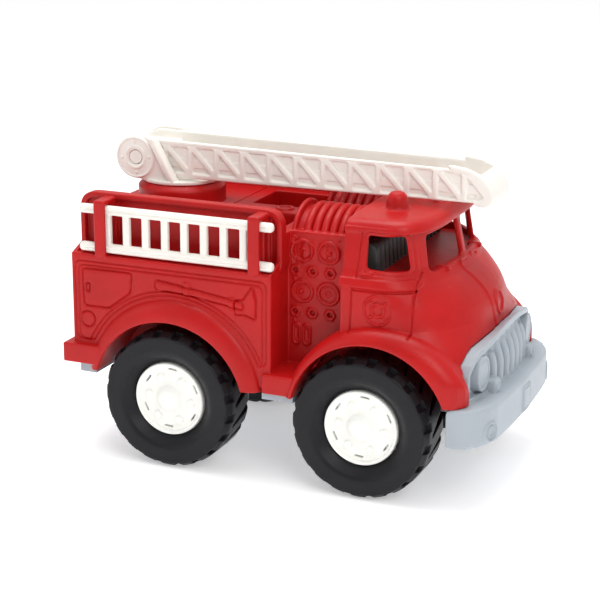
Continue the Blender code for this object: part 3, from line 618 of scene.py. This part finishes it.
def build_front():
    clay = Clay((104.0, 0.0, 37.0), (133.0, 77.0, 100.0), 0.36)
    clay.add(extruded(BUMPER_PLAN, "Z", 38.2, 61.0, 2.6))
    extent = ([100.0, 0.0, 54.0], [124.0, 62.0, 97.0])
    clay.add((lambda x, y, z: grille_slab(x, y, z, 0.4, 7.2, 0.0), *extent), 1.0)
    clay.cut((lambda x, y, z: np.maximum(grille_slab(x, y, z, 9.0, 3.6, 3.3), 63.0 - z), [100.0, 0.0, 60.0],
              [132.0, 62.0, 97.0]), 0.9)
    # upright ribs that bow forward and run back under the brow
    for y0, drop in ((0.0, 4.2), (9.8, 4.4), (19.6, 4.8), (29.2, 8.8)):
        top = float(brow(y0)) - drop

        def bar(x, y, z):
            bow = grille_line(y0) + 1.6 - 0.020 * np.maximum(z - 72.0, 0) ** 2
            face = np.hypot(y - y0, np.maximum(z - (top - 2.7), 0)) - 2.7
            return soft_max(soft_max(face, x - bow + 0.16 * (y - y0) ** 2, 1.6), 110.0 - x, 0.5)

        clay.add((bar, [108.0, y0 - 3, 60.0], [125.0, y0 + 3, top]), 0.7)
    # headlight: an oval with a raised rim
    lamp_y, lamp_z = 45.2, 74.4

    def lamp(radius, front, back=9.0):
        def distance(x, y, z):
            oval = np.hypot(y - lamp_y, (z - lamp_z) / 1.2) - radius
            along = x - 118.2 + 0.08 * (y - lamp_y)
            return swept(oval, np.maximum(along - front, -back - along), 0.6)
        return distance, [108.0, lamp_y - 10, lamp_z - 12], [122.0, lamp_y + 10, lamp_z + 12]

    clay.add(lamp(8.5, 1.2), 0.5)
    clay.cut(lamp(7.1, 6.0, -0.5), 0.3)
    clay.add(lamp(6.2, 0.9), 0.2)
    # horn blocks on the shelf
    clay.add(block(113.0, 124.6, 30.4, 38.4, 58.0, 69.4, 1.8), 0.8)
    clay.add(hoop("X", (34.4, 65.2), 2.7, 0.8, 124.5), 0.3)
    # blank plate and round studs on the bumper
    plate = round_corners([(-8.0, 40.4), (7.2, 40.4), (7.2, 56.0), (-8.0, 56.0)], 1.6)
    clay.raise_on("X", BUMPER_X, lambda a, b: polygon_distance(plate, a, b), 0.9, (-1, 39.0), (9, 58.0), 0.6, 2.4)
    clay.raise_on("X", BUMPER_X, lambda a, b: np.abs(polygon_distance(plate, a, b) + 1.4) - 0.35, -0.5,
                  (-1, 39.0), (9, 58.0), 0.5, 2.4)
    for radius, width in ((5.4, 0.6), (3.0, 0.5)):
        clay.raise_on("X", 126.5, lambda a, b: np.abs(np.hypot((a - 58.0) * 1.1, b - 46.0) - radius) - width, 1.0,
                      (50.0, 38.5), (66.0, 54.0), 0.5, 7.0)
    piece(clay.mesh("front"), "grille_and_bumper", "body", GREY, "front_bumper")


# ---------------------------------------------------------------- cabin fittings

def build_cabin():
    seat = Clay((46.0, 0.0, 96.0), (69.0, 56.0, 146.0), 0.6)
    outline = [(49.0, 98.0), (66.6, 98.0), (67.0, 113.0), (65.0, 118.4), (59.6, 119.6), (58.0, 141.0),
               (55.0, 144.4), (50.2, 144.4), (48.6, 141.0)]
    seat.add(extruded(round_corners(outline, 2.0), "Y", ACROSS, 54.8, 1.2))
    for i in range(8):
        seat.cut(block(57.2, 72.0, 3.0 + 6.4 * i, 4.8 + 6.4 * i, 117.0, 150.0, 0.4), 0.8)
    seat.cut(block(40.0, 80.0, 49.8, 50.8, 120.0, 150.0, 0.1))
    # the seat's near-black colour is painted shade of the cabin, not its own grey
    piece(seat.mesh("seat"), "seat_bench", "body", INTERIOR_GREY_PAINTED_SHADE, "cab_seat")
    # the dashboard fills the front of the cabin below the windshield; its near-black colour is painted shade
    dash = Clay((68.0, 0.0, 106.0), (96.0, 58.0, 128.0), 0.5)
    cut, x, y, z = dash.part((68.0, 0.0, 106.0), (96.0, 58.0, 128.0), 2.0)
    shelf = 124.6 - 0.16 * (x - 70.0) - z
    front = plan_body(HOOD, x, y, z, dash.step) + 4.0
    dash.field[cut] = soft_max(soft_max(front, -shelf, 1.5), np.maximum(70.0 - x, 108.0 - z), 1.5)
    for y0 in (14.0, 36.0):
        dash.cut(rod("X", (y0, 116.8), 3.6, 60.0, 71.6, 0.4), 0.4)
    dash.cut(block(77.0, 78.0, ACROSS, 44.0, 122.6, 130.0, 0.2), 0.4)
    piece(dash.mesh("dash"), "dashboard_moulding", "body", INTERIOR_GREY_PAINTED_SHADE, "dashboard")


# ---------------------------------------------------------------- turntable and boom

def build_turntable():
    px, pz = PIVOT
    clay = Clay((-125.0, 0.0, 138.0), (-64.0, 26.0, 187.0), 0.4)
    clay.add(rod("Z", (TURN_X, 0), 8.0, 138.2, 160.0, 0.6))
    clay.add(rod("Z", (TURN_X, 0), 24.4, 158.1, 160.4, 0.7), 0.4)
    for i in range(32):
        turn = 2 * math.pi * i / 32
        clay.cut(rod("Z", (TURN_X + 24.9 * math.cos(turn), 24.9 * math.sin(turn)), 0.8, 150, 170, 0.1))
    cheek = circle_outline(px, pz, 12.9, 40)
    clay.add(extruded(cheek, "Y", 17.0, 21.0, 0.9))
    arm = round_corners([(px - 4, pz - 12.8), (-104.0, 159.4), (-83.0, 159.4), (-98.0, 185.8), (px, 185.9),
                         (px - 6, 180.0)], 2.0)
    clay.add(extruded(arm, "Y", 17.0, 20.4, 0.8), 0.3)
    rib = [(-102.2, 185.9), (-98.2, 185.9), (-83.6, 160.0), (-88.0, 160.0)]
    clay.add(extruded(round_corners(rib, 1.6), "Y", 17.0, 23.6, 1.2), 0.6)
    low, high = (px - 14, pz - 14), (px + 14, pz + 14)
    for radius in (12.0, 6.4):
        clay.raise_on("Y", 21.0, lambda a, b: np.abs(np.hypot(a - px, b - pz) - radius) - 0.7, 0.7, low, high)
    for i in range(4):
        turn = math.radians(90 * i + 4)
        sx, sz = px + 9.2 * math.cos(turn), pz + 9.2 * math.sin(turn)
        clay.raise_on("Y", 21.0, lambda a, b: np.hypot(a - sx, b - sz) - 0.8, 0.6, low, high)
    clay.cut(rod("Y", (px, pz), 4.5, -10, 40, 0.2), 0.4)
    clay.cut(rod("Z", (TURN_X, 0), 3.0, 130, 150, 0.2), 0.2)
    clay.cut(spun([(5.4, 140.1), (12.0, 140.1), (12.0, 142.0), (5.4, 142.0)], "Z", (TURN_X, 0)))
    piece(clay.mesh("table"), "turntable_and_cheeks", "turntable", WHITE, "turntable")


def boom_outline():
    nose = [(84.0, 184.3), (95.0, 183.2), (103.0, 180.2), (108.6, 175.4), (112.0, 169.4), (111.8, 164.6),
            (108.4, 161.8), (102.0, 161.3)]
    return [(-112.0, 161.3)] + round_corners(nose, 3.0, 4)[::-1] + [(-112.0, 184.3)]


def build_boom():
    px, pz = PIVOT
    clay = Clay((-124.0, 0.0, 160.0), (114.0, 17.6, 186.0), 0.42)
    clay.add(extruded(boom_outline(), "Y", ACROSS, BOOM_Y, 0.9))
    clay.add(rod("Y", (px, pz), 11.3, ACROSS, BOOM_Y, 0.9), 0.3)
    # open top with rungs, and open underside
    clay.cut(block(-97.0, 103.0, ACROSS, 13.5, 173.4, 200.0, 1.0), 0.8)
    clay.cut(block(-125.0, -94.0, ACROSS, 13.5, 179.0, 200.0, 1.0), 0.8)
    clay.cut(block(-97.0, 102.0, ACROSS, 13.5, 150.0, 168.6, 1.0), 0.8)
    for i in range(15):
        x = -89.0 + 12.6 * i
        clay.cut(block(x, x + 8.2, ACROSS, 12.4, 160.0, 190.0, 1.4), 0.6)
    # side: sunk field inside raised rails, with posts and slanted braces left standing
    low, high = (-100.0, 161.0), (114.0, 186.0)
    field = round_corners([(-96.5, 164.6), (103.0, 164.6), (107.6, 167.6), (103.0, 175.0), (93.0, 179.8),
                           (84.0, 180.8), (-96.5, 180.8)], 1.6)
    pitch = 17.1

    def sunk(a, b):
        phase = np.mod(a + 93.6, pitch)
        post = np.minimum(phase, pitch - phase) - 1.1
        brace = np.abs(b - 180.8 + 1.08 * (phase - 1.2)) * 0.68 - 1.2
        return soft_max(polygon_distance(field, a, b), -soft_min(post, brace, 1.6), 1.6) + 0.3

    clay.raise_on("Y", BOOM_Y, sunk, -1.3, low, high, 1.0)
    top = [(-100.0, 183.2), (86.0, 183.2), (97.0, 181.2)]
    clay.raise_on("Y", BOOM_Y, lambda a, b: np.abs(line_distance(top, a, b) - 1.9) - 0.25, -0.35, low, high, 0.5)
    clay.cut(rod("Y", (px, pz), 4.5, -10, 40, 0.2), 0.3)
    piece(clay.mesh("boom"), "boom_truss", "boom", WHITE, "boom_ladder")


def build_side_ladders():
    clay = Clay((-123.0, 62.0, 125.0), (2.0, 72.0, 154.4), 0.36)
    for z0, z1 in ((125.5, 131.1), (148.3, 153.9)):
        clay.add(block(-122.6, 1.6, 66.4, 71.3, z0, z1, 2.3))
        middle = (z0 + z1) / 2
        clay.raise_on("Y", 71.3, lambda a, b: line_distance([(-118.0, middle), (-3.0, middle)], a, b) - 0.4, -0.5,
                      (-121.0, z0), (0.5, z1), 0.5, 1.5)
    for i in range(8):
        x = -104.0 + 12.43 * i
        clay.add(block(x - 2.2, x + 2.2, 66.9, 70.4, 128.0, 151.0, 0.8), 0.5)
    for z in (126.2, 149.4):
        clay.add(block(-114.3, -111.3, 64.8, 68.0, z, z + 4.0, 0.5), 0.3)
    piece(clay.mesh("ladder_left", mirror=False), "side_ladder_rails_left", "side_ladder_left", WHITE,
          "side_ladder_left")
    piece(clay.mesh("ladder_right", mirror=False, flip=True), "side_ladder_rails_right", "side_ladder_right",
          WHITE, "side_ladder_right")


# ---------------------------------------------------------------- wheels

def tyre_mesh():
    inner, outer = TYRE_Y
    clay = Clay((-42.0, inner, -42.0), (42.0, outer, 42.0), 0.36)
    profile = [(HUB_R + 0.3, outer - 7.4), (HUB_R + 1.2, outer - 6.0), (28.0, outer - 1.2), (29.6, outer - 0.3),
               (31.0, outer), (38.2, outer), (39.2, outer - 0.5), (39.6, outer - 1.4), (40.4, outer - 2.6),
               (TYRE_R - 0.2, outer - 4.2), (TYRE_R, outer - 6.0), (TYRE_R, inner + 5.0), (40.4, inner + 2.6),
               (39.0, inner + 0.6), (38.0, inner), (33.0, inner), (33.0, outer - 8.0),
               (HUB_R + 4.0, outer - 10.0), (HUB_R + 4.0, inner + 6.0), (HUB_R + 0.3, inner + 6.0)]
    clay.add(spun(profile, "Y", (0.0, 0.0)))
    cut, x, y, z = clay.part((-42, inner, -42), (42, outer, 42), 0)
    radius = np.hypot(x, z)
    turn = np.degrees(np.arctan2(z, x))
    pitch = 360.0 / LUGS

    def groove(phase, low, high, near, far, lean, floor):
        """Slanted wedge across the tread, from half width near at high to half width far at low."""
        wrapped = np.mod(turn - phase - lean * (high - y), pitch) - pitch / 2
        width = near + (far - near) * np.clip((high - y) / (high - low), 0, 1)
        across = np.abs(wrapped) * math.pi / 180.0 * radius - width
        hollow = np.maximum(np.maximum(across, np.maximum(low - y, y - high)), floor - radius)
        clay.field[cut] = soft_max(clay.field[cut], -hollow, 0.6)

    groove(0.0, outer - 7.5, outer + 4.0, 2.0, 2.6, 0.0, 38.9)
    groove(pitch / 2, inner - 4.0, outer - 9.0, 1.0, 3.6, 0.62, 38.7)
    return clay.mesh("tyre", mirror=False, flip=True)


def hub_mesh():
    outer = TYRE_Y[1]
    clay = Clay((-22.6, 46.0, -22.6), (22.6, outer, 22.6), 0.3)
    profile = [(4.4, 46.4), (8.6, 46.4), (9.4, 62.0), (21.6, 65.0), (22.0, 66.0), (22.0, outer - 5.0),
               (21.6, outer - 4.3), (20.8, outer - 4.2), (20.1, outer - 4.8), (19.6, outer - 6.4),
               (16.6, outer - 7.0), (11.0, outer - 6.2), (8.6, outer - 5.2), (7.2, outer - 3.6),
               (5.4, outer - 2.3), (2.8, outer - 1.6), (0.0, outer - 1.4), (0.0, outer - 8.4), (4.4, outer - 8.4)]
    clay.add(spun(profile, "Y", (0.0, 0.0)))
    for i in range(6):
        knob = math.radians(60 * i - 5)
        kx, kz = 13.6 * math.cos(knob), 13.6 * math.sin(knob)
        clay.add(rod("Y", (kx, kz), 2.5, outer - 9.0, outer - 4.6, 1.2), 0.8)
        slot = math.radians(60 * i + 25)
        cos, sin = math.cos(slot), math.sin(slot)
        ends = [(17.8 * cos + s * 2.2 * sin, 17.8 * sin - s * 2.2 * cos) for s in (-1, 1)]
        clay.cut((lambda x, y, z: np.maximum(line_distance(ends, x, z) - 0.6, 60.0 - y) + 0 * y,
                  [-22.0, 60.0, -22.0], [22.0, outer, 22.0]), 0.2)
    return clay.mesh("hub", mirror=False, flip=True)


def build_wheels():
    tyre, hub = tyre_mesh(), hub_mesh()
    for end, x in AXLES.items():
        for side, angle in (("right", 0.0), ("left", math.pi)):
            spot = Matrix.Translation((x * MM, 0, AXLE_Z * MM)) @ Matrix.Rotation(angle, 4, "Z")
            for mesh, kind, material in ((tyre, "tyre", BLACK), (hub, "hub", HUB_WHITE)):
                own = mesh.copy()
                obj = new_object("%s_moulding_%s_%s" % (kind, end, side), own)
                obj.matrix_world = spot
                paint(own, material)
                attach(obj, end + "_wheels")
                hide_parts("%s_%s_%s" % (kind, end, side))


# ---------------------------------------------------------------- studio

def build_studio():
    floor_mesh = bpy.data.meshes.new("floor")
    floor_mesh.from_pydata([(-9, -9, 0), (9, -9, 0), (9, 9, 0), (-9, 9, 0)], [], [(0, 1, 2, 3)])
    floor = new_object("floor", floor_mesh)
    pale = plastic("floor_paper", (0.90, 0.90, 0.91), 0.8, 0.02, 0.004, gloss=0.05)
    shader = pale.node_tree.nodes["Principled BSDF"]
    shader.inputs["Emission Color"].default_value = (1.0, 1.0, 1.0, 1)
    shader.inputs["Emission Strength"].default_value = 0.38
    floor_mesh.materials.append(pale)

    # dim room behind the camera, brighter overhead and towards the white wall at the back
    world = bpy.data.worlds.new("studio")
    bpy.context.scene.world = world
    world.use_nodes = True
    nodes, links = world.node_tree.nodes, world.node_tree.links
    where = nodes.new("ShaderNodeTexCoord")
    tilt = nodes.new("ShaderNodeVectorMath")
    tilt.operation = "DOT_PRODUCT"
    tilt.inputs[1].default_value = (0.10, 0.45, 0.88)
    spread = nodes.new("ShaderNodeMapRange")
    spread.inputs["From Min"].default_value = -0.6
    spread.inputs["From Max"].default_value = 1.0
    spread.inputs["To Min"].default_value = 0.10
    spread.inputs["To Max"].default_value = 0.82
    links.new(where.outputs["Generated"], tilt.inputs[0])
    links.new(tilt.outputs["Value"], spread.inputs["Value"])
    links.new(spread.outputs["Result"], nodes["Background"].inputs["Color"])

    def lamp(name, spot, target, size, power):
        data = bpy.data.lights.new(name, "AREA")
        data.shape = "RECTANGLE"
        data.size, data.size_y = size
        data.energy = power
        obj = new_object(name, data)
        obj.location = spot
        obj.rotation_euler = (Vector(target) - Vector(spot)).to_track_quat("-Z", "Y").to_euler()

    lamp("top_softbox", (-0.1, 0.1, 1.35), (0.0, 0.0, 0.06), (0.9, 0.9), 12.0)
    lamp("right_softbox", (0.85, -0.95, 1.05), (0.0, 0.0, 0.08), (0.7, 0.7), 7.0)
    lamp("left_fill", (-1.2, -1.1, 0.7), (0.0, 0.0, 0.08), (0.9, 0.9), 3.0)


def build_camera():
    azimuth, elevation, roll = (
        math.radians(angle) for angle in (CAMERA_AZIMUTH, CAMERA_ELEVATION, CAMERA_ROLL))
    back = Vector((math.sin(azimuth) * math.cos(elevation), -math.cos(azimuth) * math.cos(elevation),
                   math.sin(elevation)))
    right = Vector((0, 0, 1)).cross(back).normalized()
    up = back.cross(right)
    right, up = (math.cos(roll) * right + math.sin(roll) * up, math.cos(roll) * up - math.sin(roll) * right)
    data = bpy.data.cameras.new("camera")
    data.lens, data.sensor_width = CAMERA_LENS, CAMERA_SENSOR
    camera = new_object("camera", data)
    place = Matrix((right, up, back)).transposed().to_4x4()
    place.translation = CAMERA_PLACE
    camera.matrix_world = place
    bpy.context.scene.camera = camera


build_body()
build_front()
build_cabin()
build_turntable()
build_boom()
build_side_ladders()
build_wheels()
for node, material in (("chassis", GREY), ("turntable_retainer", WHITE), ("ladder_pivot_pin", WHITE),
                       ("front_axle", GREY), ("rear_axle", GREY)):
    paint(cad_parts[node].data, material)
build_studio()
build_camera()
bpy.context.scene.view_settings.view_transform = "Standard"
